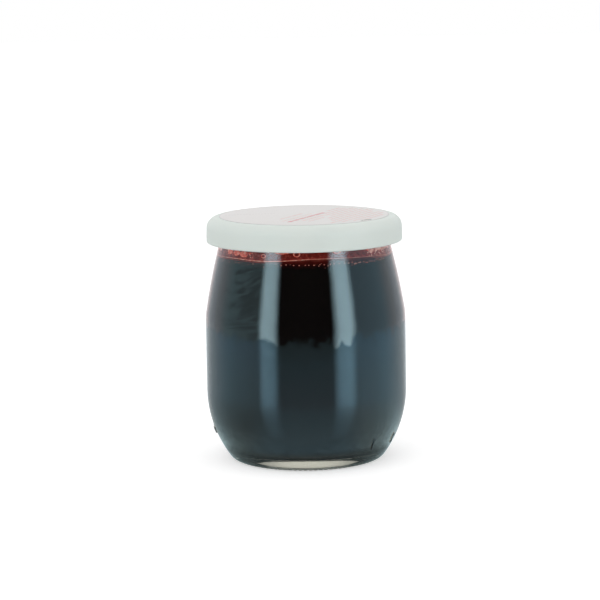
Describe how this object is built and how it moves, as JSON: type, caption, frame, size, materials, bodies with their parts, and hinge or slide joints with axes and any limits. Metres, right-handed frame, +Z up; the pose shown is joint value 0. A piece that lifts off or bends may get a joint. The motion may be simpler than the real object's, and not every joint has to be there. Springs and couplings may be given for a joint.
{
  "type": "jar of fruit coulis",
  "caption": "Small round-bellied glass pot filled with dark fruit puree, closed by a translucent press-on plastic lid with a round paper label.",
  "frame": {"origin": "middle of the foot, on the plane that the jar stands on", "axes": "+Z up along the jar's axis, through the middle of the lid; -Y faces the viewer"},
  "size_m": [0.0668, 0.0668, 0.0816],
  "materials": {
    "clear_glass": "clear, fire-polished",
    "fruit_puree": "wet gloss",
    "translucent_plastic": "smooth satin",
    "label_paper": "coated, satin"
  },
  "bodies": {
    "root": {"jar": "clear_glass", "coulis": "fruit_puree", "lid": "translucent_plastic", "label": "label_paper"}
  },
  "joints": []
}
